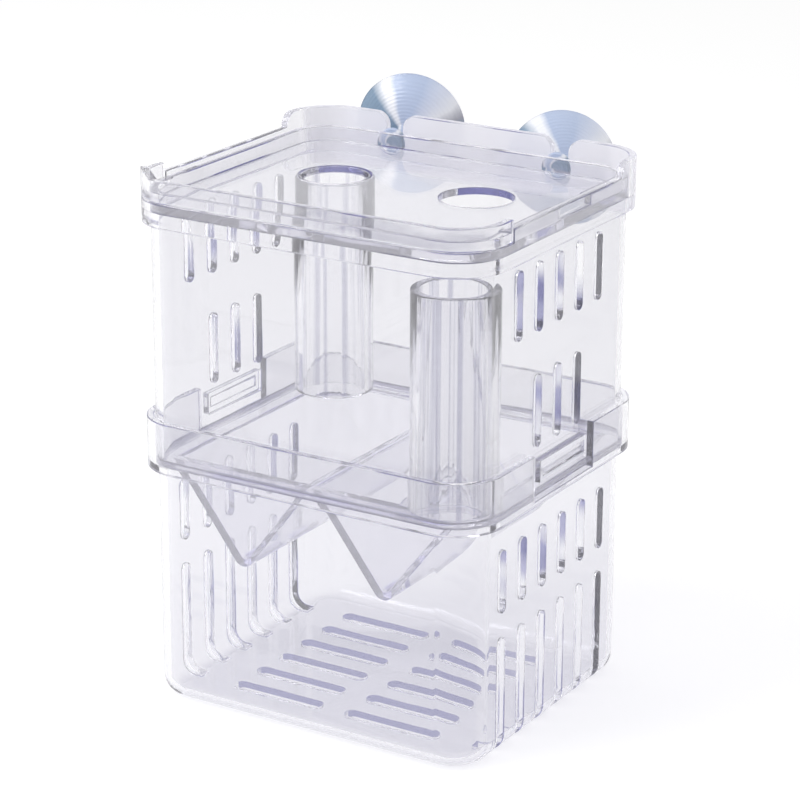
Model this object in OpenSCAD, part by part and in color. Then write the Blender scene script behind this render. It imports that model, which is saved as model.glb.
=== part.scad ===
// Double-deck fish breeding box.
// A slotted lower box carries a double-V tray and an upper box in its collar. A recessed
// lid drops into the rim of the upper box. One feeding tube plugs into the lid, the other
// is stowed upside down in the tray. Two suction cups hang in notches of the rear rim.
// The origin is the centre of the base, +Z is up and +Y is the suction cup side.

/* [Boxes] */
// Outer width of the upper box, across its side walls
box_w = 100.6; // [92:0.2:112]
// Outer depth of the upper box, front to back
box_d = 87.4; // [82:0.2:100]
// Wall thickness of the moulded shells
wall = 2; // [1.6:0.1:2.2]
// Outer corner radius of the upper box
corner_r = 11; // [9:0.5:12]
// Gap between two pieces that drop or slide into each other
fit = 0.3; // [0.25:0.05:0.4]

/* [Lower box] */
// Height of the lower box up to the underside of its collar
lower_h = 65.5; // [60:0.5:80]
// Distance that the lower wall stands in from the upper wall
lower_inset = 0.6; // [0.5:0.1:1]
// Radius of the rounded edge round the base
base_edge_r = 5.5; // [4.5:0.5:6.5]
// Height of the collar above the shoulder
collar_h = 12.4; // [10:0.2:16]
// Thickness of the shoulder that carries the tray
shoulder_t = 1.6; // [1.4:0.1:2]
// Gap between a latch bar and each end of its opening in the collar
latch_play = 3; // [2:0.2:4]

/* [Wall slots] */
// Width of a slot
slot_w = 3; // [2.4:0.2:3.6]
// Distance between two slots
slot_pitch = 10.5; // [9.5:0.5:11]
// Slots in each row of the lower box
lower_slot_count = 6; // [4:1:6]
// Distance that these slots reach in over the floor
base_slot_reach = 7.2; // [6.6:0.2:8.4]
// Plain wall between the short slots and the collar
short_slot_drop = 8.5; // [6:0.5:10]
// Length of the short slots under the collar
short_slot_len = 17; // [14:1:19]
// Plain wall between the short slots and the slots that run round the base edge
lower_band_h = 7; // [5:0.5:9]

/* [Floor slots] */
// Width of a floor slot
floor_slot_w = 4; // [3:0.5:5]
// Length of a floor slot
floor_slot_len = 27.6; // [24:0.4:30]
// Distance between two floor slots
floor_slot_pitch = 10.9; // [10:0.1:11.5]
// Width of the plain strip between the two columns of floor slots
floor_strip_w = 7.6; // [6:0.4:10]

/* [Upper box] */
// Height of the upper box from the tray to the underside of its rim
upper_h = 63.5; // [56:0.5:70]
// Distance that the rim stands out from the wall
rim_out = 2.3; // [2:0.1:2.6]
// Height of the rim along the two sides
rim_h = 10; // [9:0.5:12]
// Height of the lid seat above the underside of the rim
seat_h = 3.4; // [3:0.2:4]
// Wall thickness of the rim
rim_wall = 2.1; // [1.9:0.1:2.3]
// Height of the low rim along the front
front_rim_h = 6.4; // [6:0.2:7]
// Length of the low rim, measured back from the front
front_rim_len = 17.4; // [15:0.2:20]
// Height of the rear tabs above the sides of the rim
tab_h = 3.8; // [3:0.2:4.6]
// Length of the tabs along the two sides, measured from the rear
tab_len = 18; // [15:0.5:22]
// Slots in the upper row
high_slot_count = 5; // [3:2:5]
// Length of the upper row of slots
high_slot_len = 18; // [14:1:19]
// Plain wall between the upper row of slots and the rim
high_slot_drop = 3; // [2:0.5:5]
// Slots in the lower row
low_slot_count = 3; // [1:2:5]
// Plain wall between the two rows of slots
upper_band_h = 11.5; // [9:0.5:14]
// Plain wall between the lower row of slots and the collar
low_slot_gap = 0.5; // [0.5:0.5:3]
// Width of the latch bar on each side
latch_w = 25; // [20:1:26]
// Height of the latch bar
latch_h = 6; // [5:0.5:6.5]
// Width of the raised frame round the recess in the latch bar
latch_frame = 1.6; // [1.2:0.1:2]
// Depth of the recess in the latch bar
latch_recess = 0.8; // [0.4:0.1:1]
// Bottom of the latch bar, above the tray
latch_z = 2.7; // [2:0.1:3.4]

/* [Double-V tray] */
// Thickness of the tray plate
tray_t = 1.4; // [1.2:0.1:1.6]
// Thickness of the trough walls
trough_t = 1.6; // [1.4:0.1:1.8]
// Distance between the two trough tips
trough_pitch = 43; // [40:0.5:44]
// Depth of a trough below the top of the tray
trough_depth = 27; // [24:0.5:28]
// Gap between the end of a trough and the wall of the lower box
trough_gap = 3.5; // [2.5:0.1:5]
// Slope of the trough walls, measured from upright
trough_angle = 37.4; // [34:0.2:38]
// Inside radius of the trough tip
tip_r = 1.5; // [1.3:0.1:2]
// Width of the fry slits in the trough tips
slit_w = 2.4; // [1.8:0.2:2.6]
// Length of a fry slit
slit_len = 14; // [10:1:15]
// Fry slits along each trough
slit_count = 4; // [3:1:4]

/* [Lid] */
// Thickness of the lid plate
lid_t = 2; // [1.8:0.1:2.4]
// Height of the wall round the lid plate
lid_wall_h = 5.6; // [5:0.2:6.4]
// Height of the lip over the low front rim
lip_h = 5.7; // [5:0.1:6.5]
// Gap between the back of the lid and the rear rim
lid_back_gap = 2.1; // [2:0.1:2.5]
// Distance of the two holes from the middle of the lid
hole_x = 21.6; // [18:0.2:24]
// Distance of the two holes behind the middle of the box
hole_y = 7; // [0:0.5:10]
// Width of the shoulder that stops a tube under its hole
hole_shoulder = 0.8; // [0.6:0.1:1]
// Height of the lifting ear on the lip
ear_h = 2; // [1.5:0.1:2.4]
// Radius of the rounded top of the ear
ear_r = 8.5; // [8:0.1:9]
// Width of the finger notch in the side wall of the lid
finger_w = 16; // [12:1:20]
// Place of the notch's front end, measured back from the middle of the box
finger_start = -3; // [-6:0.5:0]

/* [Feeding tubes] */
// Outer radius of a feeding tube
tube_r = 10.6; // [10.5:0.1:11]
// Wall thickness of a feeding tube
tube_wall = 2.3; // [2.1:0.1:2.6]
// Length of a feeding tube below its plug
tube_len = 56.9; // [50:0.5:58]
// Distance that the plug stays below the top of the lid plate
plug_drop = 0.2; // [0.1:0.1:0.4]
// Width of the sloped edge inside the plug
plug_bevel = 0.6; // [0.4:0.1:0.7]

/* [Suction cups] */
// Radius of a suction cup
cup_r = 15.2; // [13:0.2:15.4]
// Depth of a suction cup from its boss to its edge
cup_depth = 8.2; // [7:0.2:9]
// Thickness of a suction cup at its middle
cup_t = 2.2; // [1.8:0.1:2.4]
// Width of the flat ring round the edge of a suction cup
cup_lip = 0.8; // [0.6:0.1:1]
// Radius of the neck that hangs in the notch
neck_r = 2.2; // [2:0.1:2.5]
// Radius of the knob at the inner end of the neck
knob_r = 4.2; // [3.6:0.1:4.6]
// Thickness of the knob inside the rim
knob_t = 1.5; // [1.2:0.1:1.5]
// Distance of each suction cup in from the side wall
cup_inset = 24.6; // [22:0.2:27]
// Gap between the most tilted suction cup and the back of the rim
cup_gap = 0.95; // [0.8:0.05:1.5]
// Upward tilt of the left suction cup in degrees
left_cup_rise = 8; // [0:1:10]
// Turn of the left suction cup away from the middle in degrees
left_cup_turn = 18; // [0:1:24]
// Downward droop of the right suction cup in degrees
right_cup_droop = 18; // [0:1:20]
// Turn of the right suction cup towards the middle in degrees
right_cup_turn = 36; // [0:1:38]

/* [Hidden] */
$fn = 96;
SHELL_FN = 64;    // facets round a rounded base corner
EDGE_STEPS = 8;   // steps round the base edge
CUT = 1;          // distance that a cutting shape runs past the surface it cuts
CLEAR = [0.86, 0.87, 0.93];
SILICONE = [0.62, 0.7, 0.8];
BOSS_FLARE = 0.8;    // growth of a cup's boss from its neck to its dish
JOINT_FLARE = 0.1;   // growth of the ball at the bend of a neck
DISH_SINK = 0.6;     // depth of the boss inside the dish

// Lower box
lower_w = box_w - 2 * lower_inset;
lower_d = box_d - 2 * lower_inset;
lower_r = corner_r - lower_inset;
ledge_z = lower_h + shoulder_t;
collar_top = ledge_z + collar_h;
collar_out = fit + wall;
latch_gap_w = latch_w + 2 * latch_play;
short_slot_top = lower_h - short_slot_drop;
short_slot_z = short_slot_top - short_slot_len;
base_slot_top = short_slot_z - lower_band_h;
// Tray
deck_z = ledge_z + tray_t;
tip_out_r = tip_r + trough_t;
tip_z = deck_z - trough_depth + tip_out_r;
trough_len = lower_d - 2 * (wall + trough_gap + trough_t);
// Upper box and rim
rim_z = deck_z + upper_h;
seat_z = rim_z + seat_h;
front_top = rim_z + front_rim_h;
rim_top = rim_z + rim_h;
tab_top = rim_top + tab_h;
rim_w = box_w + 2 * rim_out;
rim_d = box_d + 2 * rim_out;
rim_r = corner_r + rim_out;
step_y = -rim_d / 2 + front_rim_len;
tab_y = rim_d / 2 - tab_len;
high_slot_top = rim_z - high_slot_drop;
high_slot_z = high_slot_top - high_slot_len;
low_slot_top = high_slot_z - upper_band_h;
low_slot_z = collar_top + low_slot_gap;
notch_w = 2 * (neck_r + fit);
cup_z = seat_z + neck_r + fit;
cup_x = box_w / 2 - cup_inset;
// Lid
lid_w = rim_w - 2 * (rim_wall + fit);
lid_front = -rim_d / 2 + rim_wall + fit;
lid_back = rim_d / 2 - rim_wall - lid_back_gap;
lid_d = lid_back - lid_front;
lid_y = (lid_back + lid_front) / 2;
lid_r = rim_r - rim_wall - fit;
lip_z = front_top + fit;
lip_top = lip_z + lip_h;
hole_r = tube_r - hole_shoulder;
// Tubes
bore_r = tube_r - tube_wall;
plug_r = hole_r - fit;
plug_h = lid_t - plug_drop;
spare_x = box_w / 2 - wall - fit - tube_r;
spare_y = -(box_d / 2 - wall - fit - tube_r);
landing_r = tube_r + wall;
// Suction cups
cup_y = rim_d / 2 + fit;
cup_tilt = acos(cos(right_cup_droop) * cos(right_cup_turn));
boss_len = (cup_r * sin(cup_tilt) + cup_gap - neck_r) / cos(cup_tilt) + DISH_SINK - cup_depth;

// Flat outline of a box: a rectangle with round corners
module outline(w, d, r) {
    square([w - 2 * r, d], center = true);
    square([w, d - 2 * r], center = true);
    for (sx = [-1, 1], sy = [-1, 1])
        translate([sx * (w / 2 - r), sy * (d / 2 - r)])
            circle(r);
}

// Upright block with round corners between two heights
module block(w, d, r, z0, z1) {
    translate([0, 0, z0])
        linear_extrude(z1 - z0)
            outline(w, d, r);
}

// Block whose base edge is rounded as well
module bowl(w, d, r, edge_r, z0, z1) {
    profile = concat(
        [[0, 0], [r - edge_r, 0]],
        [for (i = [1 : EDGE_STEPS])
            let (a = 90 * i / EDGE_STEPS)
            [r - edge_r + edge_r * sin(a), edge_r * (1 - cos(a))]],
        [[r, z1 - z0], [0, z1 - z0]]);
    hull()
        for (sx = [-1, 1], sy = [-1, 1])
            translate([sx * (w / 2 - r), sy * (d / 2 - r), z0])
                rotate_extrude($fn = SHELL_FN)
                    polygon(profile);
}

// Upright slot through both side walls between two heights, with round ends
module side_slot(z0, z1) {
    r = slot_w / 2;
    translate([-rim_w, 0, 0]) {
        translate([0, -r, z0 + r])
            cube([2 * rim_w, slot_w, z1 - z0 - slot_w]);
        for (z = [z0 + r, z1 - r])
            translate([0, 0, z])
                rotate([0, 90, 0])
                    cylinder(r = r, h = 2 * rim_w);
    }
}

// Places its children at the depths of a row of slots
module slot_row(count, pitch) {
    for (i = [0 : count - 1])
        translate([0, (i - (count - 1) / 2) * pitch, 0])
            children();
}

// Slot that comes down both side walls, round the base edge and in over the floor
module base_slot() {
    side_slot(base_edge_r, base_slot_top);
    for (side = [-1, 1])
        translate([side * (lower_w / 2 - base_slot_reach / 2 + CUT / 2), 0, base_edge_r / 2])
            cube([base_slot_reach + CUT, slot_w, base_edge_r + 2 * CUT + slot_w], center = true);
}

// Slot in the floor with round ends, one in each column
module floor_slot() {
    r = floor_slot_w / 2;
    for (side = [-1, 1])
        translate([side * (floor_strip_w + floor_slot_len) / 2, 0, -CUT]) {
            translate([r - floor_slot_len / 2, -r, 0])
                cube([floor_slot_len - floor_slot_w, floor_slot_w, wall + 2 * CUT]);
            for (end = [-1, 1])
                translate([end * (floor_slot_len / 2 - r), 0, 0])
                    cylinder(r = r, h = wall + 2 * CUT);
        }
}

module lower_box() {
    color(CLEAR)
        difference() {
            union() {
                bowl(lower_w, lower_d, lower_r, base_edge_r, 0, ledge_z);
                block(box_w + 2 * collar_out, box_d + 2 * collar_out, corner_r + collar_out,
                      lower_h, collar_top);
            }
            bowl(lower_w - 2 * wall, lower_d - 2 * wall, lower_r - wall, base_edge_r - wall,
                 wall, ledge_z + CUT);
            block(box_w + 2 * fit, box_d + 2 * fit, corner_r + fit, ledge_z, collar_top + CUT);
            // Gap in both sides of the collar for the latch bars
            translate([-rim_w, -latch_gap_w / 2, ledge_z])
                cube([2 * rim_w, latch_gap_w, collar_h + CUT]);
            slot_row(lower_slot_count, slot_pitch) {
                base_slot();
                side_slot(short_slot_z, short_slot_top);
            }
            slot_row(lower_slot_count, floor_slot_pitch)
                floor_slot();
        }
}

// Prism of one trough along Y, with a round tip of radius r and a length len
module trough(r, len, top) {
    tangent = [r * cos(trough_angle), tip_z - r * sin(trough_angle)];
    half = tangent.x + (top - tangent.y) * tan(trough_angle);
    rotate([90, 0, 0])
        translate([0, 0, -len / 2])
            linear_extrude(len)
                union() {
                    polygon([[-half, top], [-tangent.x, tangent.y],
                             [tangent.x, tangent.y], [half, top]]);
                    translate([0, tip_z])
                        circle(r);
                }
}

// Tray plate with its two troughs, open at the top and slit along their tips
module trough_plate() {
    difference() {
        union() {
            block(box_w, box_d, corner_r, ledge_z, deck_z);
            for (side = [-1, 1])
                translate([side * trough_pitch / 2, 0, 0])
                    trough(tip_out_r, trough_len + 2 * trough_t, deck_z - tray_t / 2);
        }
        for (side = [-1, 1])
            translate([side * trough_pitch / 2, 0, 0]) {
                trough(tip_r, trough_len, deck_z + CUT);
                slot_row(slit_count, trough_len / slit_count)
                    translate([-slit_w / 2, -slit_len / 2, tip_z - tip_out_r - CUT])
                        cube([slit_w, slit_len, tip_out_r + CUT]);
            }
    }
}

module v_tray() {
    color(CLEAR)
        difference() {
            union() {
                trough_plate();
                // Landing for the stowed tube
                translate([spare_x, spare_y, ledge_z])
                    cylinder(r = landing_r, h = tray_t);
            }
            // Hole for the plug of the stowed tube
            translate([spare_x, spare_y, deck_z - plug_h - fit])
                cylinder(r = hole_r, h = plug_h + fit + CUT);
        }
}

// Waste outside a round corner of radius r, cut through the rim along Y
module tab_corner(r, depth) {
    difference() {
        cube([r + CUT, depth, r + CUT]);
        translate([0, -CUT, 0])
            rotate([-90, 0, 0])
                cylinder(r = r, h = depth + 2 * CUT);
    }
}

// Notch for a suction cup neck, with a round bottom, round shoulders and a pocket for the knob
module neck_notch() {
    depth = 2 * rim_wall + 2 * CUT;
    translate([0, box_d / 2 - wall - CUT, cup_z])
        rotate([-90, 0, 0])
            cylinder(r = knob_r + fit, h = wall + CUT + rim_out - rim_wall);
    translate([0, rim_d / 2 - rim_wall - CUT - fit, 0]) {
        translate([-notch_w / 2, 0, cup_z])
            cube([notch_w, depth, tab_top]);
        translate([0, 0, cup_z])
            rotate([-90, 0, 0])
                cylinder(r = notch_w / 2, h = depth);
        for (side = [0, 1])
            mirror([side, 0, 0])
                translate([-notch_w / 2 - tab_h, 0, tab_top - tab_h])
                    tab_corner(tab_h, depth);
    }
}

module upper_box() {
    color(CLEAR)
        difference() {
            union() {
                block(box_w, box_d, corner_r, deck_z, rim_z + wall);
                block(rim_w, rim_d, rim_r, rim_z, tab_top);
                // Latch bars that sit in the gaps of the collar
                translate([-box_w / 2 - wall, -latch_w / 2, deck_z + latch_z])
                    cube([box_w + 2 * wall, latch_w, latch_h]);
            }
            block(box_w - 2 * wall, box_d - 2 * wall, corner_r - wall, deck_z - CUT, tab_top);
            block(rim_w - 2 * rim_wall, rim_d - 2 * rim_wall, rim_r - rim_wall, seat_z,
                  tab_top + CUT);
            for (side = [0, 1])
                mirror([side, 0, 0])
                    translate([box_w / 2 + wall - latch_recess, latch_frame - latch_w / 2,
                               deck_z + latch_z + latch_frame])
                        cube([latch_recess + CUT, latch_w - 2 * latch_frame,
                              latch_h - 2 * latch_frame]);
            // Low rim in front, plain rim along the sides, tabs at the rear
            translate([-rim_w, -rim_d, front_top])
                cube([2 * rim_w, rim_d + step_y, tab_top]);
            translate([-rim_w, -rim_d, rim_top])
                cube([2 * rim_w, rim_d + tab_y, tab_top]);
            translate([-rim_w, tab_y + tab_h, rim_top])
                rotate([0, 0, -90])
                    tab_corner(tab_h, 2 * rim_w);
            for (side = [-1, 1])
                translate([side * cup_x, 0, 0])
                    neck_notch();
            slot_row(high_slot_count, slot_pitch)
                side_slot(high_slot_z, high_slot_top);
            slot_row(low_slot_count, slot_pitch)
                side_slot(low_slot_z, low_slot_top);
        }
}

// Lip block over the low front rim, between two heights and shrunk by a margin
module lip_block(margin, z0, z1) {
    intersection() {
        block(rim_w - 2 * margin, rim_d - 2 * margin, rim_r - margin, z0, z1);
        translate([-rim_w, -rim_d, z0])
            cube([2 * rim_w, rim_d + step_y - fit, z1 - z0]);
    }
}

module lid() {
    color(CLEAR)
        difference() {
            union() {
                translate([0, lid_y, 0])
                    block(lid_w, lid_d, lid_r, seat_z, seat_z + lid_wall_h);
                lip_block(0, lip_z, lip_top);
                // Ear on the front left corner of the lip
                intersection() {
                    lip_block(0, lip_top - CUT, lip_top + ear_h + CUT);
                    translate([-rim_w / 2 + rim_r, -rim_d / 2 + rim_r, lip_top + ear_h - ear_r])
                        rotate([0, -90, 45])
                            cylinder(r = ear_r, h = 2 * rim_r);
                }
            }
            translate([0, lid_y, 0])
                block(lid_w - 2 * wall, lid_d - 2 * wall, lid_r - wall, seat_z + lid_t,
                      lip_top + ear_h + CUT);
            lip_block(wall, lip_z + wall, lip_top + ear_h + CUT);
            for (side = [-1, 1])
                translate([side * hole_x, hole_y, seat_z - CUT])
                    cylinder(r = hole_r, h = lid_t + 2 * CUT);
            // Finger notch in the right wall
            translate([lid_w / 2 - wall - CUT, finger_start, seat_z + lid_t + CUT])
                cube([wall + 2 * CUT, finger_w, lid_wall_h]);
        }
}

// Feeding tube that hangs from its shoulder at height 0, with its plug above it
module tube() {
    color(CLEAR)
        difference() {
            union() {
                translate([0, 0, -tube_len])
                    cylinder(r = tube_r, h = tube_len);
                translate([0, 0, -tube_len])
                    cylinder(r = plug_r, h = tube_len + plug_h);
            }
            translate([0, 0, -tube_len - CUT])
                cylinder(r = bore_r, h = tube_len + plug_h + 2 * CUT);
            translate([0, 0, plug_h - 2 * plug_bevel])
                cylinder(r1 = bore_r, r2 = bore_r + plug_bevel, h = 2 * plug_bevel);
        }
}

module feeding_tube() {
    translate([-hole_x, hole_y, seat_z])
        tube();
}

module spare_tube() {
    translate([spare_x, spare_y, deck_z])
        rotate([180, 0, 0])
            tube();
}

// Radius of the sphere through a cap's edge, from the edge radius and the depth
function cap_radius(edge, depth) = (edge * edge + depth * depth) / (2 * depth);

// Dish of a suction cup, opening along +Z, with its middle at the origin
module dish() {
    outer = cap_radius(cup_r, cup_depth);
    inner = cap_radius(cup_r - cup_lip, cup_depth - cup_t);
    difference() {
        intersection() {
            translate([0, 0, outer])
                sphere(outer);
            cylinder(r = cup_r + CUT, h = cup_depth);
        }
        translate([0, 0, cup_t + inner])
            sphere(inner);
    }
}

// Suction cup in its notch: knob and neck, then the boss and dish, which tilt about a ball
module suction_cup(x, droop, turn) {
    neck_len = rim_wall + 2 * fit;
    color(SILICONE)
        translate([x, cup_y + neck_r - fit, cup_z]) {
            rotate([90, 0, 0]) {
                cylinder(r = neck_r, h = neck_r + neck_len + knob_t / 2);
                translate([0, 0, neck_r - fit + neck_len])
                    cylinder(r = knob_r, h = knob_t);
            }
            sphere(neck_r + JOINT_FLARE);
            rotate([-90 - droop, 0, turn]) {
                cylinder(r1 = neck_r, r2 = neck_r + BOSS_FLARE, h = boss_len);
                translate([0, 0, boss_len - DISH_SINK])
                    dish();
            }
        }
}

module suction_cup_left() {
    suction_cup(-cup_x, -left_cup_rise, left_cup_turn);
}

module suction_cup_right() {
    suction_cup(cup_x, right_cup_droop, right_cup_turn);
}

lower_box();
v_tray();
upper_box();
lid();
feeding_tube();
spare_tube();
suction_cup_left();
suction_cup_right();
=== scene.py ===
"""Dresses the double-deck fish breeding box: clear moulded shells, feeding tubes and silicone cups.

Every length is in metres and every piece lies in the frame's own coordinates: +Z up, +Y towards
the suction cups, the origin at the middle of the base.
"""

import logging
import math
from dataclasses import dataclass, field
from enum import Enum
from typing import Sequence

import bmesh
import bpy
from mathutils import Matrix, Vector


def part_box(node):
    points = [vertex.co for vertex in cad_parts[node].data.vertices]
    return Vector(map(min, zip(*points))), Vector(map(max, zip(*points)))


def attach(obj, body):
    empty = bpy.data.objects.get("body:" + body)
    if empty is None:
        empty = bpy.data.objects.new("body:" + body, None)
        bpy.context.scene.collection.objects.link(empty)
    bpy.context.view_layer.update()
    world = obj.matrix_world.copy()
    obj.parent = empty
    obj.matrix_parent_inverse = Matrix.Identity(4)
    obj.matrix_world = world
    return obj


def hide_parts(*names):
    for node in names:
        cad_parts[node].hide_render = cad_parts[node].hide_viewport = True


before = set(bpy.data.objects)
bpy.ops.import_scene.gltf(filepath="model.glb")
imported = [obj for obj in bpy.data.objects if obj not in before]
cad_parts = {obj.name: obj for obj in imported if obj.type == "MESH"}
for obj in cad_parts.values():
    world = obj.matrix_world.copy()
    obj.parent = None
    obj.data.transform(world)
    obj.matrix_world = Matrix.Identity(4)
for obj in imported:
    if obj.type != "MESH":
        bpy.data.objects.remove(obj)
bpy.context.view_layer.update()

MM = 0.001
CUT_WALL = "cut_wall"  # face attribute: 1 on edges and on walls that a core leaves less polished; these also carry painted highlight and painted dark reflection
PAINTED_REFLECTION_ATTRIBUTE = "painted_reflection_share"  # face attribute: how much painted dark reflection such a wall gets

Colour = tuple[float, float, float, float]
Bands = list[tuple[float, Colour]]

WHITE: Colour = (1.0, 1.0, 1.0, 1.0)
SEAM_GAP = 0.0005 * MM  # distance under which the points of a spun seam are one
LARGE_FACES_LEAD = 100  # weight at which large faces settle the normals beside them

log = logging.getLogger("breeding_box")


# ---------------------------------------------------------------- shader maths


class Wire:
    """A node socket that can be used in Python expressions, which adds the Math nodes."""

    def __init__(self, tree: "Graph", socket: bpy.types.NodeSocket) -> None:
        """Wraps one output socket of a node.

        Args:
            tree: The graph that the socket's node is in.
            socket: The output socket.
        """
        self.tree = tree
        self.socket = socket

    def _math(self, operation: str, *values: "Wire | float", clamp: bool = False) -> "Wire":
        """Adds a Math node.

        Args:
            operation: The Math node's operation.
            values: Its inputs in order.
            clamp: Whether the result is kept between 0 and 1.

        Returns:
            The node's result.
        """
        settings = {"operation": operation, "use_clamp": clamp}
        return self.tree.add("ShaderNodeMath", settings, dict(enumerate(values)))

    def __add__(self, other: "Wire | float") -> "Wire":
        """Returns self + other."""
        return self._math("ADD", self, other)

    __radd__ = __add__

    def __sub__(self, other: "Wire | float") -> "Wire":
        """Returns self - other."""
        return self._math("SUBTRACT", self, other)

    def __rsub__(self, other: float) -> "Wire":
        """Returns other - self."""
        return self._math("SUBTRACT", other, self)

    def __mul__(self, other: "Wire | float") -> "Wire":
        """Returns self * other."""
        return self._math("MULTIPLY", self, other)

    __rmul__ = __mul__

    def __truediv__(self, other: "Wire | float") -> "Wire":
        """Returns self / other."""
        return self._math("DIVIDE", self, other)

    def larger(self, other: "Wire | float") -> "Wire":
        """Returns the larger of self and other."""
        return self._math("MAXIMUM", self, other)

    def fraction(self) -> "Wire":
        """Returns the part of self behind the point."""
        return self._math("FRACT", self)

    def sine(self, rate: float) -> "Wire":
        """Returns the sine of self times rate."""
        return self._math("SINE", self * rate)

    def clamped(self) -> "Wire":
        """Returns self, kept between 0 and 1."""
        return self._math("ADD", self, 0.0, clamp=True)


class Graph:
    """The node tree of one material or world."""

    def __init__(self, owner: bpy.types.Material | bpy.types.World) -> None:
        """Empties the owner's node tree and takes it over.

        Args:
            owner: The material or world.
        """
        owner.use_nodes = True
        self.nodes = owner.node_tree.nodes
        self.links = owner.node_tree.links
        self.nodes.clear()

    def add(
        self,
        kind: str,
        settings: dict[str, object] | None = None,
        inputs: dict[str | int, object] | None = None,
        output: str | int = 0,
    ) -> Wire:
        """Adds one node of any type.

        Args:
            kind: The node's type, such as ShaderNodeMath.
            settings: Its settings by name, set before the sockets. "stops" holds a ramp's stops.
            inputs: Values or wires for its input sockets, by name or number.
            output: The output socket to return, by name or number.

        Returns:
            That output, as a wire.
        """
        node = self.nodes.new(kind)
        for name, value in (settings or {}).items():
            if name == "stops":
                self._set_stops(node, value)
            else:
                setattr(node, name, value)
        for name, value in (inputs or {}).items():
            if isinstance(value, Wire):
                self.links.new(value.socket, node.inputs[name])
            else:
                node.inputs[name].default_value = value
        if len(node.outputs) == 0:
            return Wire(self, None)
        return Wire(self, node.outputs[output])

    @staticmethod
    def _set_stops(node: bpy.types.ShaderNodeValToRGB, stops: list[tuple]) -> None:
        """Sets a colour ramp's stops.

        Args:
            node: The ramp node.
            stops: Pairs of position and RGBA colour.
        """
        elements = node.color_ramp.elements
        while len(elements) < len(stops):
            elements.new(0.5)
        for element, (position, colour) in zip(elements, stops):
            element.position = position
            element.color = colour

    def place(self, scale: float = 1.0) -> Wire:
        """Returns the object coordinates, multiplied by scale."""
        coordinates = self.add("ShaderNodeTexCoord", output="Object")
        return self.add(
            "ShaderNodeVectorMath", {"operation": "SCALE"}, {0: coordinates, "Scale": scale}
        )

    def axis(self, vector: Wire, letter: str) -> Wire:
        """Returns the X, Y or Z part of a vector."""
        return self.add("ShaderNodeSeparateXYZ", None, {0: vector}, output=letter)

    def noise(self, scale: float, detail: float) -> Wire:
        """Returns a noise between 0 and 1 on the object coordinates.

        Args:
            scale: Its cells to a metre.
            detail: Its finer octaves.

        Returns:
            The noise.
        """
        inputs = {"Vector": self.place(), "Scale": scale, "Detail": detail}
        return self.add("ShaderNodeTexNoise", None, inputs)

    def face_value(self, name: str) -> Wire:
        """Returns the value that an attribute of that name gives each face."""
        return self.add("ShaderNodeAttribute", {"attribute_name": name}, output="Fac")

    def ray_is(self, *kinds: str) -> Wire:
        """Returns 1 for rays of any of these kinds, and 0 for others.

        Args:
            kinds: The ends of the Light Path node's outputs, such as Camera.

        Returns:
            The factor.
        """
        flags = [self.add("ShaderNodeLightPath", output=f"Is {kind} Ray") for kind in kinds]
        result = flags[0]
        for flag in flags[1:]:
            result = result.larger(flag)
        return result

    def mix_colour(self, factor: Wire | float, first: tuple | Wire, second: tuple | Wire) -> Wire:
        """Mixes two colours.

        Args:
            factor: 0 gives first and 1 gives second.
            first: The first colour.
            second: The second colour.

        Returns:
            The mixed colour.
        """
        return self.add(
            "ShaderNodeMix",
            {"data_type": "RGBA"},
            {0: factor, 6: first, 7: second},
            output=2,
        )

    def finish(
        self, shader: Wire, kind: str = "ShaderNodeOutputMaterial", volume: Wire | None = None
    ) -> None:
        """Links a shader, and a volume where there is one, to a new output node.

        Args:
            shader: The surface or background shader.
            kind: The type of the output node.
            volume: The volume shader, or None.
        """
        self.add(kind, None, {"Surface": shader} | ({"Volume": volume} if volume else {}))


# ---------------------------------------------------------------- finishes


class Slot(Enum):
    """The record's material slots."""

    ACRYLIC = "clear_acrylic"
    SILICONE = "silicone"


def lamps_pass(graph: Graph, surface: Wire, tint: Colour) -> Wire:
    """Lets light from lamps and from lit surfaces pass through a clear shader.

    Args:
        graph: The material's graph.
        surface: The clear shader.
        tint: The colour that the passing light takes.

    Returns:
        The mixed shader.
    """
    passing = graph.ray_is("Shadow", "Diffuse")
    open_way = graph.add("ShaderNodeBsdfTransparent", None, {"Color": tint})
    return graph.add("ShaderNodeMixShader", None, {0: passing, 1: surface, 2: open_way})


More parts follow.
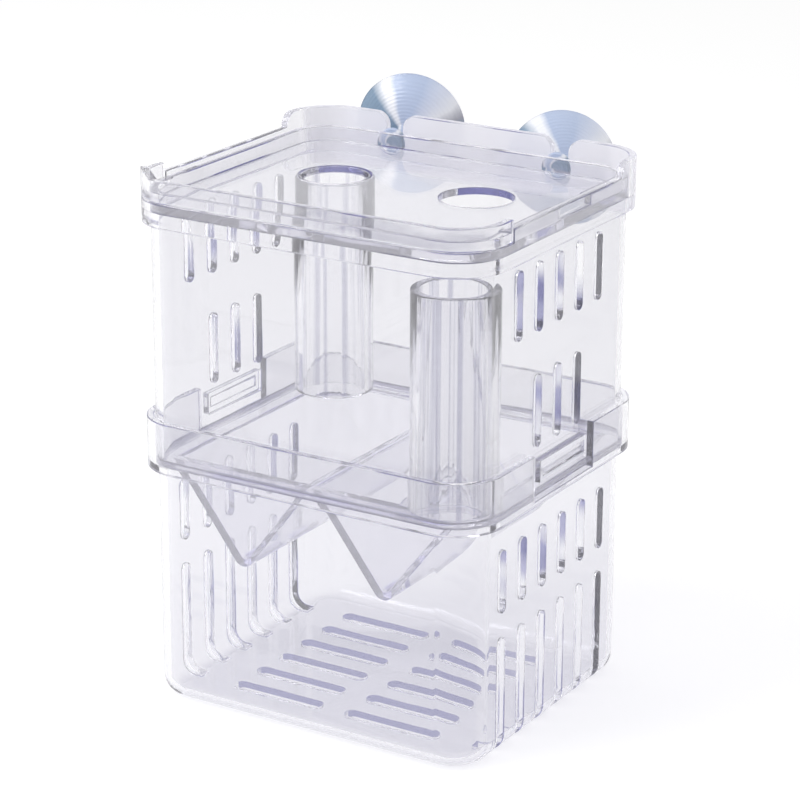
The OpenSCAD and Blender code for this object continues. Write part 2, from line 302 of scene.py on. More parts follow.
@dataclass(frozen=True)
class ClearAcrylic:
    """Polished clear plastic: lilac tint, slight milk, flow marks, edges with a painted highlight
    and painted dark reflection streaks.
    """

    name: str
    tint: Colour = (0.90, 0.898, 0.918, 1.0)
    ior: float = 1.49
    # Edges and core-cut walls: left untinted as a painted highlight, with painted dark reflection
    # streaks
    painted_highlight_tint: Colour = WHITE
    painted_dark_reflection: Colour = (0.16, 0.16, 0.36, 1.0)
    painted_reflection_scale: float = 60.0
    painted_reflection_start: float = 0.44
    painted_reflection_gain: float = 7.0
    # Share of milk that scatters light, on sheets, on edges and on the rear of the rim
    milk_colour: Colour = (0.95, 0.945, 0.99, 1.0)
    haze: float = 0.028
    edge_haze: float = 0.1
    frost: float = 0.0
    frost_height: float = 128.0 * MM
    frost_back: float = 36.0 * MM
    frost_blend: float = 2.0 * MM
    # Absorption inside the plastic
    depth_colour: Colour = (0.35, 0.33, 0.7, 1.0)
    depth_density: float = 1.5
    # Polish, wear and the waves that the flow of the plastic leaves
    polish: float = 0.015
    wear: float = 0.03
    wear_scale: float = 900.0
    wear_detail: float = 4.0
    cut_roughness: float = 0.03
    flow_height: float = 0.03
    flow_scale: float = 45.0
    flow_detail: float = 2.0
    # Draw-mark bumps and painted dark reflection lines along a tube, by its share of a turn
    draw_height: float = 0.0
    draw_scale: float = 24.0
    painted_line_start: float = 0.58
    painted_line_gain: float = 12.0
    painted_line_darkness: float = 0.0

    def draw_marks_and_painted_lines(self, graph: Graph) -> Wire:
        """Makes the noise of the draw-mark bumps and the painted dark lines, which changes only
        round a tube.

        Args:
            graph: The material's graph.

        Returns:
            The noise.
        """
        turn = graph.axis(graph.add("ShaderNodeUVMap"), "Y")
        inputs = {"W": turn, "Scale": self.draw_scale, "Detail": 1.0}
        return graph.add("ShaderNodeTexNoise", {"noise_dimensions": "1D"}, inputs)

    def colour(self, graph: Graph, cut: Wire, draw_marks_and_painted_lines: Wire) -> Wire:
        """Makes the tint of the sheets, with painted dark lines on tubes, and the edges: untinted
        as a painted highlight, with painted dark reflection streaks.

        Args:
            graph: The material's graph.
            cut: 1 on edges and core-cut walls.
            draw_marks_and_painted_lines: The noise of the draw-mark bumps and the painted dark
                lines.

        Returns:
            The colour.
        """
        # Painted dark reflection streaks on edges and cut walls, which are otherwise untinted as a
        # painted highlight
        gathered = graph.noise(self.painted_reflection_scale, 1.0) - self.painted_reflection_start + graph.face_value(PAINTED_REFLECTION_ATTRIBUTE)
        painted_reflection_mask = (self.painted_reflection_gain * gathered).clamped()
        # Painted dark reflection lines along a tube
        painted_line_mask = self.painted_line_darkness * (self.painted_line_gain * (draw_marks_and_painted_lines - self.painted_line_start)).clamped()
        edge = graph.mix_colour(painted_reflection_mask, self.painted_highlight_tint, self.painted_dark_reflection)
        sheet = graph.mix_colour(painted_line_mask, self.tint, self.painted_dark_reflection)
        return graph.mix_colour(cut, sheet, edge)

    def milk_share(self, graph: Graph, cut: Wire) -> Wire:
        """Makes the share of milk over the piece.

        Args:
            graph: The material's graph.
            cut: 1 on edges and core-cut walls.

        Returns:
            The share.
        """
        place = graph.place()
        above = ((graph.axis(place, "Z") - self.frost_height) / self.frost_blend).clamped()
        behind = ((graph.axis(place, "Y") - self.frost_back) / self.frost_blend).clamped()
        frosted = self.frost * (above * behind)
        return (self.haze + frosted) * (1.0 - cut) + self.edge_haze * cut

    def build(self) -> bpy.types.Material:
        """Makes the material.

        Returns:
            The material.
        """
        material = bpy.data.materials.new(self.name)
        graph = Graph(material)
        cut = graph.face_value(CUT_WALL)
        draw_marks_and_painted_lines = self.draw_marks_and_painted_lines(graph)
        height = graph.noise(self.flow_scale, self.flow_detail) + self.draw_height * draw_marks_and_painted_lines
        bump = graph.add(
            "ShaderNodeBump",
            None,
            {"Strength": self.flow_height, "Distance": MM, "Height": height},
        )
        worn = (graph.noise(self.wear_scale, self.wear_detail) - 0.5).clamped()
        clear = graph.add(
            "ShaderNodeBsdfPrincipled",
            None,
            {
                "Base Color": self.colour(graph, cut, draw_marks_and_painted_lines),
                "Roughness": self.polish + self.wear * worn + self.cut_roughness * cut,
                "IOR": self.ior,
                "Transmission Weight": 1.0,
                "Normal": bump,
            },
        )
        lit = graph.add("ShaderNodeBsdfDiffuse", None, {"Color": self.milk_colour})
        glow = graph.add("ShaderNodeBsdfTranslucent", None, {"Color": self.milk_colour})
        milk = graph.add("ShaderNodeMixShader", None, {0: 0.5, 1: lit, 2: glow})
        share = self.milk_share(graph, cut)
        surface = graph.add("ShaderNodeMixShader", None, {0: share, 1: clear, 2: milk})
        depth = graph.add(
            "ShaderNodeVolumeAbsorption",
            None,
            {"Color": self.depth_colour, "Density": self.depth_density},
        )
        graph.finish(lamps_pass(graph, surface, self.tint), volume=depth)
        return material


@dataclass(frozen=True)
class SoftSilicone:
    """Soft cloudy silicone whose turned mould leaves fine rings; its colour is painted reflections
    in sectors.
    """

    name: str = "translucent_silicone"
    # Painted reflections in sectors: a dark steel wedge, white highlight streaks, blue, lavender
    # and grey; bright also tints the passing light
    steel: Colour = (0.25, 0.35, 0.47, 1.0)
    bright: Colour = (0.95, 0.96, 1.0, 1.0)
    blue: Colour = (0.52, 0.60, 0.78, 1.0)
    lavender: Colour = (0.74, 0.78, 0.90, 1.0)
    grey: Colour = (0.50, 0.50, 0.56, 1.0)
    clearness: float = 0.3
    ior: float = 1.41
    roughness: float = 0.2
    sectors_per_turn: float = 2.0
    # Noise that wobbles the edges of the painted reflection sectors
    sector_wobble_shift: float = 0.08
    sector_wobble_scale: float = 160.0
    sector_wobble_detail: float = 3.0
    ring_pitch: float = 0.9 * MM
    ring_depth: float = 0.1 * MM
    ring_strength: float = 0.25

    def painted_sector_reflections(self) -> Bands:
        """Returns the ramp of painted reflection colours over each half turn, which ends as it
        begins.
        """
        return [
            (0.0, self.steel), (0.24, self.steel), (0.31, self.bright), (0.36, self.bright),
            (0.41, self.blue), (0.6, self.blue), (0.74, self.lavender), (0.84, self.bright),
            (0.93, self.grey), (1.0, self.steel),
        ]

    def build(self) -> bpy.types.Material:
        """Makes the material.

        Returns:
            The material.
        """
        material = bpy.data.materials.new(self.name)
        graph = Graph(material)
        chart = graph.add("ShaderNodeUVMap")
        # Base colour: painted reflections in sectors round the cup's axis
        sector_wobble = graph.noise(self.sector_wobble_scale, self.sector_wobble_detail)
        turned = self.sectors_per_turn * graph.axis(chart, "Y")
        place = (turned + self.sector_wobble_shift * (sector_wobble - 0.5)).fraction()
        painted_sector_reflections = graph.add("ShaderNodeValToRGB", {"stops": self.painted_sector_reflections()}, {0: place})
        rings = graph.axis(chart, "X").sine(math.tau / self.ring_pitch)
        bump = graph.add(
            "ShaderNodeBump",
            None,
            {"Strength": self.ring_strength, "Distance": self.ring_depth, "Height": rings},
        )
        surface = graph.add(
            "ShaderNodeBsdfPrincipled",
            None,
            {
                "Base Color": painted_sector_reflections,
                "Roughness": self.roughness,
                "IOR": self.ior,
                "Transmission Weight": self.clearness,
                "Normal": bump,
            },
        )
        graph.finish(lamps_pass(graph, surface, self.bright))
        return material


# ---------------------------------------------------------------- shared mesh work


def rounded(
    outline: Sequence[tuple[float, float]], radii: Sequence[float], steps: int
) -> list[Vector]:
    """Rounds the corners of an outline.

    Args:
        outline: Its corners in order; a radius of 0 leaves a corner as it is.
        radii: One radius for each corner.
        steps: Points on each round corner.

    Returns:
        The rounded outline.
    """
    corners = [Vector(point) for point in outline]
    points = []
    for index, (corner, radius) in enumerate(zip(corners, radii)):
        if radius == 0.0:
            points.append(corner)
            continue
        before = (corners[index - 1] - corner).normalized()
        after = (corners[(index + 1) % len(corners)] - corner).normalized()
        half = before.angle(after) / 2
        centre = corner + (before + after).normalized() * (radius / math.sin(half))
        start = corner + before * (radius / math.tan(half)) - centre
        end = corner + after * (radius / math.tan(half)) - centre
        sweep = start.angle(end)
        for step in range(steps + 1):
            part = step / steps
            arm = math.sin((1 - part) * sweep) * start + math.sin(part * sweep) * end
            points.append(centre + arm / math.sin(sweep))
    return points


def lathe(outline: Sequence[Vector], turns: int, closed: bool) -> bmesh.types.BMesh:
    """Spins an outline of radius and height about the Z axis.

    Args:
        outline: Points of radius and height.
        turns: Steps round the axis.
        closed: Whether the outline is a loop; otherwise it begins and ends on the axis.

    Returns:
        The closed mesh, with a UV map that holds each point's radius and its share of a turn.
    """
    mesh = bmesh.new()
    points = [mesh.verts.new((point.x, 0.0, point.y)) for point in outline]
    pairs = list(zip(points, points[1:]))
    if closed:
        pairs.append((points[-1], points[0]))
    edges = [mesh.edges.new(pair) for pair in pairs]
    bmesh.ops.spin(
        mesh,
        geom=points + edges,
        cent=(0.0, 0.0, 0.0),
        axis=(0.0, 0.0, 1.0),
        dvec=(0.0, 0.0, 0.0),
        angle=math.tau,
        steps=turns,
        use_merge=True,
        use_duplicate=False,
    )
    bmesh.ops.remove_doubles(mesh, verts=mesh.verts, dist=SEAM_GAP)
    bmesh.ops.recalc_face_normals(mesh, faces=mesh.faces)
    rings = mesh.loops.layers.uv.new("rings")
    for face in mesh.faces:
        middle = face.calc_center_median()
        start = math.atan2(middle.y, middle.x) / math.tau
        for loop in face.loops:
            place = loop.vert.co
            turn = math.atan2(place.y, place.x) / math.tau
            turn = start + (turn - start + 0.5) % 1.0 - 0.5  # no jump inside a face
            loop[rings].uv = (math.hypot(place.x, place.y), turn + 1.0)
    return mesh


def smooth_by_angle(mesh: bmesh.types.BMesh, angle: float) -> None:
    """Shades every face smooth and marks edges past an angle as sharp.

    Args:
        mesh: The mesh.
        angle: The angle in radians.
    """
    for face in mesh.faces:
        face.smooth = True
    for edge in mesh.edges:
        edge.smooth = len(edge.link_faces) == 2 and edge.calc_face_angle(0.0) < angle


def weigh_normals(piece: bpy.types.Object) -> None:
    """Adds a Weighted Normal modifier, so that flat walls stay flat beside their round edges.

    Args:
        piece: The object that gets it.
    """
    modifier = piece.modifiers.new("flat_walls", "WEIGHTED_NORMAL")
    modifier.keep_sharp = True
    modifier.weight = LARGE_FACES_LEAD


@dataclass
class SubAssembly:
    """One removable piece of the product, which rides on its own body."""

    node: str
    finish: bpy.types.Material

    def __post_init__(self) -> None:
        """Finds the body that carries the piece, and the lowest and highest corner of its solid."""
        self.body = self.node + "_body"
        self.low, self.high = (Vector(corner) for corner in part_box(self.node))

    def add_piece(self, name: str, mesh: bmesh.types.BMesh, slot: Slot) -> bpy.types.Object:
        """Turns a bmesh into the finished piece that stands for the CAD solid.

        Args:
            name: The piece's name.
            mesh: Its shape, which is freed.
            slot: The record's slot, which is not used.

        Returns:
            The new object.
        """
        data = bpy.data.meshes.new(name)
        mesh.to_mesh(data)
        mesh.free()
        data.materials.append(self.finish)
        piece = bpy.data.objects.new(name, data)
        bpy.context.scene.collection.objects.link(piece)
        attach(piece, self.body)
        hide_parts(self.node)
        log.info("%s: %d faces on %s", name, len(data.polygons), self.body)
        return piece


# ---------------------------------------------------------------- moulded shells


@dataclass
class MouldedShell(SubAssembly):
    """A clear thin-walled moulding with polished, slightly rounded edges."""

    wall: float = 2.0 * MM
    edge_radius: float = 0.25 * MM
    edge_steps: int = 2
    sharp_from: float = math.radians(35)
    smooth_below: float = math.radians(40)
    join_gap: float = 0.002 * MM
    flat_within: float = math.radians(0.4)
    side_on: float = 0.3  # largest part of a normal along an axis that a face runs beside

    def merged_copy(self) -> bmesh.types.BMesh:
        """Copies the solid's mesh, joins its loose triangles and clears its flat faces.

        Returns:
            The joined mesh.
        """
        mesh = bmesh.new()
        mesh.from_mesh(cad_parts[self.node].data)
        bmesh.ops.remove_doubles(mesh, verts=mesh.verts, dist=self.join_gap)
        bmesh.ops.dissolve_limit(
            mesh, angle_limit=self.flat_within, verts=mesh.verts, edges=mesh.edges
        )
        return mesh

    def is_cut(self, place: Vector, normal: Vector) -> bool:
        """Tells whether a face is the wall of a slot or hole, which its core leaves less polished.

        Args:
            place: The middle of the face.
            normal: Its direction.

        Returns:
            True for such a face.
        """
        return False

    def painted_reflection_share(self, place: Vector, normal: Vector) -> float:
        """Tells how much painted dark reflection a cut wall gets.

        Args:
            place: The middle of the face.
            normal: Its direction.

        Returns:
            A share from 0 to 1.
        """
        return 0.0

    def mark_cuts(self, mesh: bmesh.types.BMesh) -> None:
        """Marks the faces that are core-cut walls, and how much painted dark reflection they get,
        in two attributes.

        Args:
            mesh: The joined mesh, which is changed.
        """
        layer = mesh.faces.layers.float.new(CUT_WALL)
        # The second attribute holds the share of painted dark reflection
        painted_dark_reflection = mesh.faces.layers.float.new(PAINTED_REFLECTION_ATTRIBUTE)
        for face in mesh.faces:
            middle = face.calc_center_bounds()
            face[layer] = 1.0 if self.is_cut(middle, face.normal) else 0.0
            face[painted_dark_reflection] = face[layer] * self.painted_reflection_share(middle, face.normal)

    def soften(self, mesh: bmesh.types.BMesh) -> None:
        """Bevels the sharp edges, whose round faces count as cut walls.

        Args:
            mesh: The marked mesh, which is changed.
        """
        sharp = [
            edge
            for edge in mesh.edges
            if len(edge.link_faces) == 2 and edge.calc_face_angle(0.0) > self.sharp_from
        ]
        result = bmesh.ops.bevel(
            mesh,
            geom=sharp,
            offset=self.edge_radius,
            offset_type="OFFSET",
            segments=self.edge_steps,
            profile=0.5,
            affect="EDGES",
            clamp_overlap=False,
            material=-1,
        )
        layer = mesh.faces.layers.float[CUT_WALL]
        for face in result["faces"]:
            face[layer] = 1.0

    def build(self) -> bpy.types.Object:
        """Makes the piece.

        Returns:
            The new object.
        """
        mesh = self.merged_copy()
        self.mark_cuts(mesh)
        self.soften(mesh)
        smooth_by_angle(mesh, self.smooth_below)
        piece = self.add_piece(self.node + "_moulding", mesh, Slot.ACRYLIC)
        weigh_normals(piece)
        return piece


@dataclass
class SlottedBox(MouldedShell):
    """A box with rows of slots through its two side walls."""

    overhang: float = 2.8 * MM
    corner: float = 8.0 * MM

    def in_side_wall(self, place: Vector, normal: Vector) -> bool:
        """Tells whether a face lies within the thickness of a side wall and faces along it."""
        outer = self.high.x - self.overhang
        return outer - self.wall < abs(place.x) < outer and abs(normal.x) < self.side_on

    def is_cut(self, place: Vector, normal: Vector) -> bool:
        """Tells whether a face is the wall of a side slot."""
        return self.in_side_wall(place, normal) and abs(place.y) < self.high.y - self.corner


@dataclass
class LowerBox(SlottedBox):
    """The lower chamber: slotted side walls, slotted floor and the collar that takes the tray."""

    overhang: float = 2.9 * MM
    # Painted dark reflection on the far walls of the floor slots
    far_wall_painted_reflection: float = 0.85

    def is_cut(self, place: Vector, normal: Vector) -> bool:
        """Tells whether a face is the wall of a side slot or of a floor slot.

        Args:
            place: The middle of the face.
            normal: Its direction.

        Returns:
            True for such a face.
        """
        in_floor = 0.0 < place.z < self.wall and abs(normal.z) < self.side_on
        inside_x = abs(place.x) < self.high.x - self.corner
        inside_y = abs(place.y) < self.high.y - self.corner
        return (in_floor and inside_x and inside_y) or super().is_cut(place, normal)

    def painted_reflection_share(self, place: Vector, normal: Vector) -> float:
        """Tells how much painted dark reflection a cut wall gets: only the far walls of the floor
        slots get it.
        """
        faces_front = normal.y < -self.side_on
        return self.far_wall_painted_reflection if place.z < self.wall and faces_front else 0.0


@dataclass
class UpperBox(SlottedBox):
    """The upper chamber: slotted side walls, latch bars, the stepped rim and the rear tabs."""

    overhang: float = 2.3 * MM


@dataclass
class DoubleVTray(MouldedShell):
    """The tray between the boxes: two V troughs with fry slits and a hole for the stowed tube."""

    slit_zone: float = 4.5 * MM

    def is_cut(self, place: Vector, normal: Vector) -> bool:
        """Tells whether a face is the wall of a fry slit in the tip of a trough."""
        return place.z < self.low.z + self.slit_zone and abs(normal.z) < self.side_on


@dataclass
class Lid(MouldedShell):
    """The recessed lid with its two tube holes, its lip and its lifting ear."""

    hole_zone: float = 0.8  # share of the half width and depth that the holes lie in
    # Painted dark reflection on the front-facing walls of the tube holes
    hole_painted_reflection: float = 0.9
    front_facing: float = 0.5  # smallest part of a normal towards the front of a wall with painted dark reflection

    def is_cut(self, place: Vector, normal: Vector) -> bool:
        """Tells whether a face is the wall of a tube hole.

        Args:
            place: The middle of the face.
            normal: Its direction.

        Returns:
            True for such a face.
        """
        inside_x = abs(place.x) < self.hole_zone * self.high.x
        inside_y = abs(place.y) < self.hole_zone * self.high.y
        return inside_x and inside_y and abs(normal.z) < self.side_on

    def painted_reflection_share(self, place: Vector, normal: Vector) -> float:
        """Tells how much painted dark reflection a hole's wall gets: much where it faces the front.
        """
        return self.hole_painted_reflection if normal.y < -self.front_facing else 0.0


# ---------------------------------------------------------------- tubes and cups


@dataclass
class FeedingTube(SubAssembly):
    """A clear feeding tube with a narrower plug at one end."""

    plug_up: bool = True
    radius: float = 10.6 * MM
    bore: float = 8.3 * MM
    plug_radius: float = 9.5 * MM
    plug_height: float = 1.8 * MM
    plug_bevel: float = 0.6 * MM
    edge_radius: float = 0.35 * MM
    plug_edge_radius: float = 0.21 * MM
    edge_steps: int = 4
    turns: int = 160
    smooth_below: float = math.radians(30)

    def outline(self) -> list[Vector]:
        """Draws the wall of the tube, with its shoulder at height 0 and its plug above.

        Returns:
            The closed outline of radius and height.
        """
        length = self.high.z - self.low.z - self.plug_height
        top = self.plug_height
        corners = [
            (self.bore, -length),
            (self.radius, -length),
            (self.radius, 0.0),
            (self.plug_radius, 0.0),
            (self.plug_radius, top),
            (self.bore + self.plug_bevel, top),
            (self.bore, top - 2 * self.plug_bevel),
        ]
        wide, fine = self.edge_radius, self.plug_edge_radius
        return rounded(corners, [wide, wide, wide, 0.0, fine, 0.0, 0.0], self.edge_steps)

    def build(self) -> bpy.types.Object:
        """Makes the piece.

        Returns:
            The new object.
        """
        mesh = lathe(self.outline(), self.turns, closed=True)
        middle = (self.low + self.high) / 2
        if self.plug_up:
            shoulder, turn = self.high.z - self.plug_height, Matrix.Identity(4)
        else:
            shoulder, turn = self.low.z + self.plug_height, Matrix.Rotation(math.pi, 4, "X")
        place = Matrix.Translation((middle.x, middle.y, shoulder)) @ turn
        bmesh.ops.transform(mesh, matrix=place, verts=mesh.verts)
        smooth_by_angle(mesh, self.smooth_below)
        return self.add_piece(self.node + "_moulding", mesh, Slot.ACRYLIC)


@dataclass
class SuctionCup(SubAssembly):
    """A silicone cup: knob and neck in the rim's notch, then the boss and dish that tilt."""

    droop: float = 0.0
    turn: float = 0.0
    radius: float = 15.2 * MM
    depth: float = 8.2 * MM
    middle: float = 2.2 * MM
    lip: float = 0.8 * MM
    neck: float = 2.2 * MM
    neck_length: float = 6.1 * MM
    ball: float = 2.3 * MM
    boss: float = 3.0 * MM
    dish_start: float = 2.794 * MM
    knob: float = 4.2 * MM
    knob_thickness: float = 1.5 * MM
    ball_end: float = math.radians(15)
    steps: int = 28
    knob_edge_steps: int = 5
    turns: int = 144
    smooth_below: float = math.radians(50)

    @staticmethod
    def cap_height(edge: float, depth: float, radius: float) -> float:
        """Returns the height at a radius of a spherical cap with that edge and depth."""
        sphere = (edge * edge + depth * depth) / (2 * depth)
        return sphere - math.sqrt(sphere * sphere - radius * radius)

    def dish_outline(self) -> list[Vector]:
        """Draws the ball, the boss and the dish from one end of their axis to the other.

        Returns:
            The open outline of radius and height, from the middle of the ball.
        """
        low, high = -math.tau / 4, self.ball_end
        points = [
            self.ball * Vector((math.cos(angle), math.sin(angle)))
            for angle in (low + (high - low) * i / self.steps for i in range(self.steps + 1))
        ]
        points[0].x = 0.0
        rim = self.radius - self.lip / 4
        for index in range(self.steps + 1):
            out = self.boss + (rim - self.boss) * index / self.steps
            height = self.cap_height(self.radius, self.depth, out)
            points.append(Vector((out, self.dish_start + height)))
        edge = self.dish_start + self.depth
        points.append(Vector((self.radius, edge - self.lip / 4)))
        points.append(Vector((rim, edge)))
        inner = self.radius - self.lip
        for index in range(self.steps + 1):
            out = inner * (1 - index / self.steps)
            height = self.cap_height(inner, self.depth - self.middle, out)
            points.append(Vector((out, self.dish_start + self.middle + height)))
        return points

    def knob_outline(self) -> list[Vector]:
        """Draws the neck and the knob from one end of their axis to the other.

        Returns:
            The open outline of radius and height, from the middle of the ball.
        """
        end = self.neck_length
        start = end - self.knob_thickness
        soft = self.knob_thickness / 3
        inside = self.ball / 2
        corners = [
            (0.0, inside), (self.neck, inside), (self.neck, start), (self.knob, start),
            (self.knob, end), (0.0, end),
        ]
        return rounded(corners, [0.0, 0.0, 0.0, soft, soft, 0.0], self.knob_edge_steps)

    def build(self) -> bpy.types.Object:
        """Makes the piece.

        Returns:
            The new object.
        """
        right_angle = math.tau / 4
        knob = lathe(self.knob_outline(), self.turns, closed=False)
        bmesh.ops.transform(knob, matrix=Matrix.Rotation(right_angle, 4, "X"), verts=knob.verts)
        mesh = lathe(self.dish_outline(), self.turns, closed=False)
        droop = Matrix.Rotation(-right_angle - self.droop, 4, "X")
        tilt = Matrix.Rotation(self.turn, 4, "Z") @ droop
        bmesh.ops.transform(mesh, matrix=tilt, verts=mesh.verts)
        joined = bpy.data.meshes.new("knob")
        knob.to_mesh(joined)
        knob.free()
        mesh.from_mesh(joined)
        bpy.data.meshes.remove(joined)
        bmesh.ops.translate(mesh, vec=self.ball_place(), verts=mesh.verts)
        smooth_by_angle(mesh, self.smooth_below)
        return self.add_piece(self.node + "_moulding", mesh, Slot.SILICONE)

    def ball_place(self) -> Vector:
        """Finds the middle of the ball behind the solid's knob.

        Returns:
            Its place.
        """
        points = [vertex.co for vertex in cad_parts[self.node].data.vertices]
        reach = self.low.y + self.knob_thickness / 2
        knob = [point for point in points if point.y < reach]
        sides = [point.x for point in knob]
        heights = [point.z for point in knob]
        return Vector((
            (min(sides) + max(sides)) / 2,
            self.low.y + self.neck_length,
            (min(heights) + max(heights)) / 2,
        ))


# ---------------------------------------------------------------- studio


@dataclass
class Studio:
    """The floor, the soft light, the banded cards that draw the clear edges, and the camera."""

    target: Vector = field(default_factory=lambda: Vector((43.17, -61.84, 105.22)) * MM)
    distance: float = 694.6 * MM
    azimuth: float = math.radians(31.14)
    elevation: float = math.radians(19.04)
    roll: float = math.radians(0.26)
    sensor: float = 36.0
    lens: float = 131.53
    shift: tuple[float, float] = (-0.0113, 0.0053)
    clip: tuple[float, float] = (0.01, 50.0)
    # Light
    key_place: Vector = field(default_factory=lambda: Vector((-0.5, -0.6, 0.9)))
    key_aim: Vector = field(default_factory=lambda: Vector((0.0, 0.0, 0.075)))
    key_size: float = 0.6
    key_power: float = 6.0
    world_light: float = 0.7
    floor_colour: Colour = (0.9, 0.9, 0.9, 1.0)
    floor_lift: float = 0.27
    floor_size: float = 3.0
    # Banded cards, called flags
    grey: Colour = (0.93, 0.93, 0.96, 1.0)
    dusk: Colour = (0.55, 0.55, 0.68, 1.0)
    navy: Colour = (0.04, 0.045, 0.16, 1.0)
    violet: Colour = (0.42, 0.4, 0.8, 1.0)
    back_flag_distance: float = 1.8
    back_flag_height: float = 0.72
    back_flag_size: tuple[float, float] = (0.44, 0.5)
    left_flag_place: Vector = field(default_factory=lambda: Vector((-0.6, 0.16, 0.1)))
    right_flag_place: Vector = field(default_factory=lambda: Vector((0.55, 0.38, 0.1)))
    side_flag_size: tuple[float, float] = (0.16, 0.5)
    # Bounces of light, many of which the clear sheets need
    bounces: int = 90
    open_bounces: int = 40
    glossy_bounces: int = 8

    def camera(self) -> None:
        """Makes the camera."""
        back = Vector((
            math.sin(self.azimuth) * math.cos(self.elevation),
            -math.cos(self.azimuth) * math.cos(self.elevation),
            math.sin(self.elevation),
        ))
        level = Vector((math.cos(self.azimuth), math.sin(self.azimuth), 0.0))
        upright = back.cross(level)
        right = math.cos(self.roll) * level + math.sin(self.roll) * upright
        up = back.cross(right)
        data = bpy.data.cameras.new("camera")
        data.sensor_width = self.sensor
        data.lens = self.lens
        data.shift_x, data.shift_y = self.shift
        data.clip_start, data.clip_end = self.clip
        camera = bpy.data.objects.new("camera", data)
        turn = Matrix((right, up, back)).transposed().to_4x4()
        camera.matrix_world = Matrix.Translation(self.target + self.distance * back) @ turn
        bpy.context.scene.collection.objects.link(camera)
        bpy.context.scene.camera = camera

    def world(self) -> None:
        """Makes the even pale surroundings, which camera, shiny and clear surfaces see white."""
        world = bpy.data.worlds.new("studio")
        bpy.context.scene.world = world
        graph = Graph(world)
        seen = graph.ray_is("Camera", "Glossy", "Transmission")
        strength = self.world_light + (1.0 - self.world_light) * seen
        background = graph.add("ShaderNodeBackground", None, {"Color": WHITE, "Strength": strength})
        graph.finish(background, "ShaderNodeOutputWorld")

    def floor(self) -> None:
        """Makes the pale floor, which keeps the object's shadow."""
        mesh = bmesh.new()
        bmesh.ops.create_grid(mesh, x_segments=1, y_segments=1, size=self.floor_size)
        data = bpy.data.meshes.new("floor")
        mesh.to_mesh(data)
        mesh.free()
        material = bpy.data.materials.new("floor")
        graph = Graph(material)
        lit = graph.add("ShaderNodeBsdfDiffuse", None, {"Color": self.floor_colour})
        glow = graph.add("ShaderNodeEmission", None, {"Color": WHITE, "Strength": self.floor_lift})
        none = graph.add("ShaderNodeEmission", None, {"Strength": 0.0})
        seen = graph.ray_is("Camera", "Glossy", "Transmission")
        lift = graph.add("ShaderNodeMixShader", None, {0: seen, 1: none, 2: glow})
        graph.finish(graph.add("ShaderNodeAddShader", None, {0: lit, 1: lift}))
        data.materials.append(material)
        floor = bpy.data.objects.new("floor", data)
        bpy.context.scene.collection.objects.link(floor)

    def lamp(self) -> None:
        """Makes the one soft square lamp."""
        data = bpy.data.lights.new("key", "AREA")
        data.size = self.key_size
        data.energy = self.key_power
        lamp = bpy.data.objects.new("key", data)
        lamp.location = self.key_place
        aim = self.key_aim - self.key_place
        lamp.rotation_euler = aim.to_track_quat("-Z", "Y").to_euler()
        bpy.context.scene.collection.objects.link(lamp)

    def flag(
        self, name: str, place: Vector, extent: tuple[float, float], bands: Bands, upright: bool
    ) -> None:
        """Adds one banded card that faces the object, which only clear and shiny surfaces show.

        Args:
            name: The card's name.
            place: Its centre.
            extent: Its width and height.
            bands: The ramp of colours across the card.
            upright: Whether the bands stand upright; otherwise they lie level.
        """
        width, height = extent
        mesh = bmesh.new()
        bmesh.ops.create_grid(mesh, x_segments=1, y_segments=1, size=0.5)
        bmesh.ops.scale(mesh, vec=(width, height, 1.0), verts=mesh.verts)
        data = bpy.data.meshes.new(name)
        mesh.to_mesh(data)
        mesh.free()
        material = bpy.data.materials.new(name)
        graph = Graph(material)
        size, axis = (width, "X") if upright else (height, "Y")
        across = graph.axis(graph.place(1.0 / size), axis)
        colour = graph.add("ShaderNodeValToRGB", {"stops": bands}, {0: across + 0.5})
        graph.finish(graph.add("ShaderNodeEmission", None, {"Color": colour}))
        data.materials.append(material)
        card = bpy.data.objects.new(name, data)
        card.location = place
        level = Vector((-place.x, -place.y, 0.0))
        card.rotation_euler = level.to_track_quat("Z", "Y").to_euler()
        card.visible_camera = False
        card.visible_diffuse = False
        card.visible_shadow = False
        bpy.context.scene.collection.objects.link(card)

    def stripes(self) -> Bands:
        """Returns the upright bands of the side flags, which slot walls and tubes show."""
        return [
            (0.0, WHITE), (0.1, self.violet), (0.16, self.navy), (0.26, self.navy),
            (0.32, self.violet), (0.4, WHITE), (0.6, WHITE), (0.66, self.violet),
            (0.7, self.navy), (0.74, WHITE), (1.0, WHITE),
        ]

    def levels(self) -> Bands:
        """Returns the level bands of the back flag, which upward faces and undersides mirror."""
        return [
            (0.0, WHITE), (0.06, self.grey), (0.39, self.grey), (0.4, self.navy),
            (0.425, self.navy), (0.435, self.grey), (0.59, self.grey), (0.6, self.navy),
            (0.65, self.navy), (0.66, self.dusk), (0.92, self.dusk), (1.0, WHITE),
        ]

    def flags(self) -> None:
        """Makes the flag behind the object and the two beside it."""
        away = Vector((-math.sin(self.azimuth), math.cos(self.azimuth), 0.0))
        back = self.back_flag_distance * away + Vector((0.0, 0.0, self.back_flag_height))
        self.flag("back_flag", back, self.back_flag_size, self.levels(), False)
        size, bands = self.side_flag_size, self.stripes()
        self.flag("left_flag", self.left_flag_place, size, bands, True)
        self.flag("right_flag", self.right_flag_place, size, bands, True)

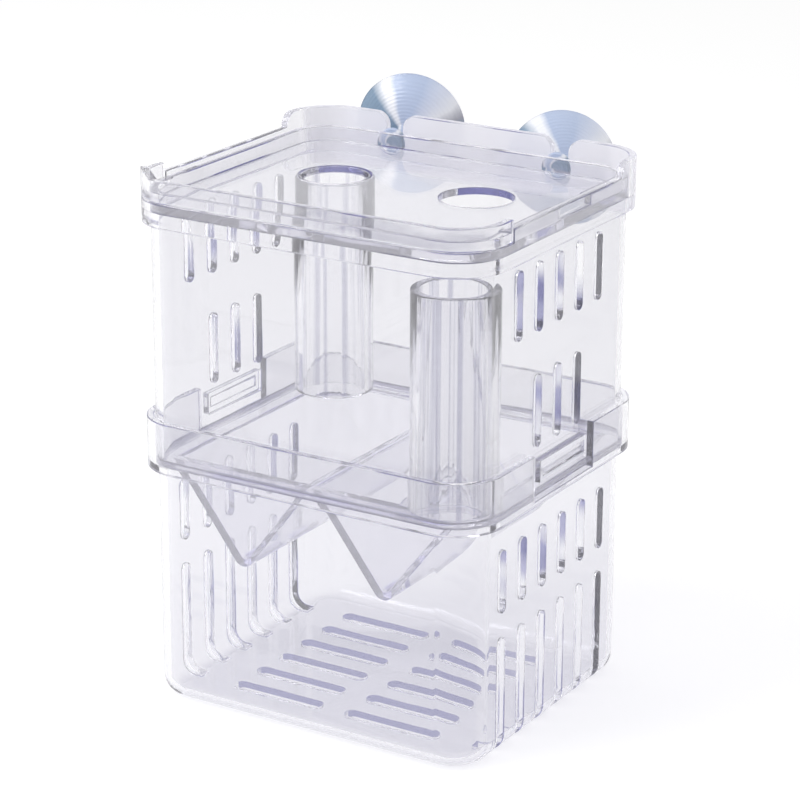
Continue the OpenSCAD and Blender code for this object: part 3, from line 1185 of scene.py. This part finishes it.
    def build(self) -> None:
        """Makes the whole studio."""
        self.camera()
        self.world()
        self.floor()
        self.lamp()
        self.flags()
        cycles = bpy.context.scene.cycles
        cycles.max_bounces = self.bounces
        cycles.transmission_bounces = self.bounces
        cycles.transparent_max_bounces = self.open_bounces
        cycles.glossy_bounces = self.glossy_bounces
        bpy.context.scene.view_settings.view_transform = "Standard"


def clear_finishes() -> dict[str, bpy.types.Material]:
    """Makes the clear plastic of each moulding.

    Returns:
        The materials by name.
    """
    # The dark edge colours given here are painted dark reflections
    finishes = (
        ClearAcrylic("clear_acrylic_shell"),
        ClearAcrylic("clear_acrylic_tabbed", tint=(0.875, 0.873, 0.893, 1.0), frost=0.7),
        ClearAcrylic(
            "clear_acrylic_tray",
            tint=(0.965, 0.963, 0.98, 1.0),
            painted_dark_reflection=(0.55, 0.53, 0.86, 1.0),
            haze=0.09,
        ),
        ClearAcrylic("clear_acrylic_lid", haze=0.06, painted_dark_reflection=(0.04, 0.04, 0.22, 1.0)),
        # The tube's dark lines are painted reflections; its bumps are draw marks
        ClearAcrylic(
            "clear_acrylic_tube", tint=WHITE, haze=0.012, draw_height=20.0, painted_line_darkness=0.42
        ),
    )
    return {finish.name: finish.build() for finish in finishes}


def main() -> None:
    """Builds the studio and every sub-assembly."""
    logging.basicConfig(level=logging.INFO, format="%(message)s")
    Studio().build()
    clear = clear_finishes()
    tube = clear["clear_acrylic_tube"]
    silicone = SoftSilicone().build()
    parts = (
        LowerBox("lower_box", clear["clear_acrylic_shell"]),
        DoubleVTray("v_tray", clear["clear_acrylic_tray"]),
        UpperBox("upper_box", clear["clear_acrylic_tabbed"]),
        Lid("lid", clear["clear_acrylic_lid"]),
        FeedingTube("feeding_tube", tube),
        FeedingTube("spare_tube", tube, plug_up=False),
        SuctionCup("suction_cup_left", silicone, droop=math.radians(-8), turn=math.radians(18)),
        SuctionCup("suction_cup_right", silicone, droop=math.radians(18), turn=math.radians(36)),
    )
    for part in parts:
        part.build()


if __name__ == "__main__":
    main()
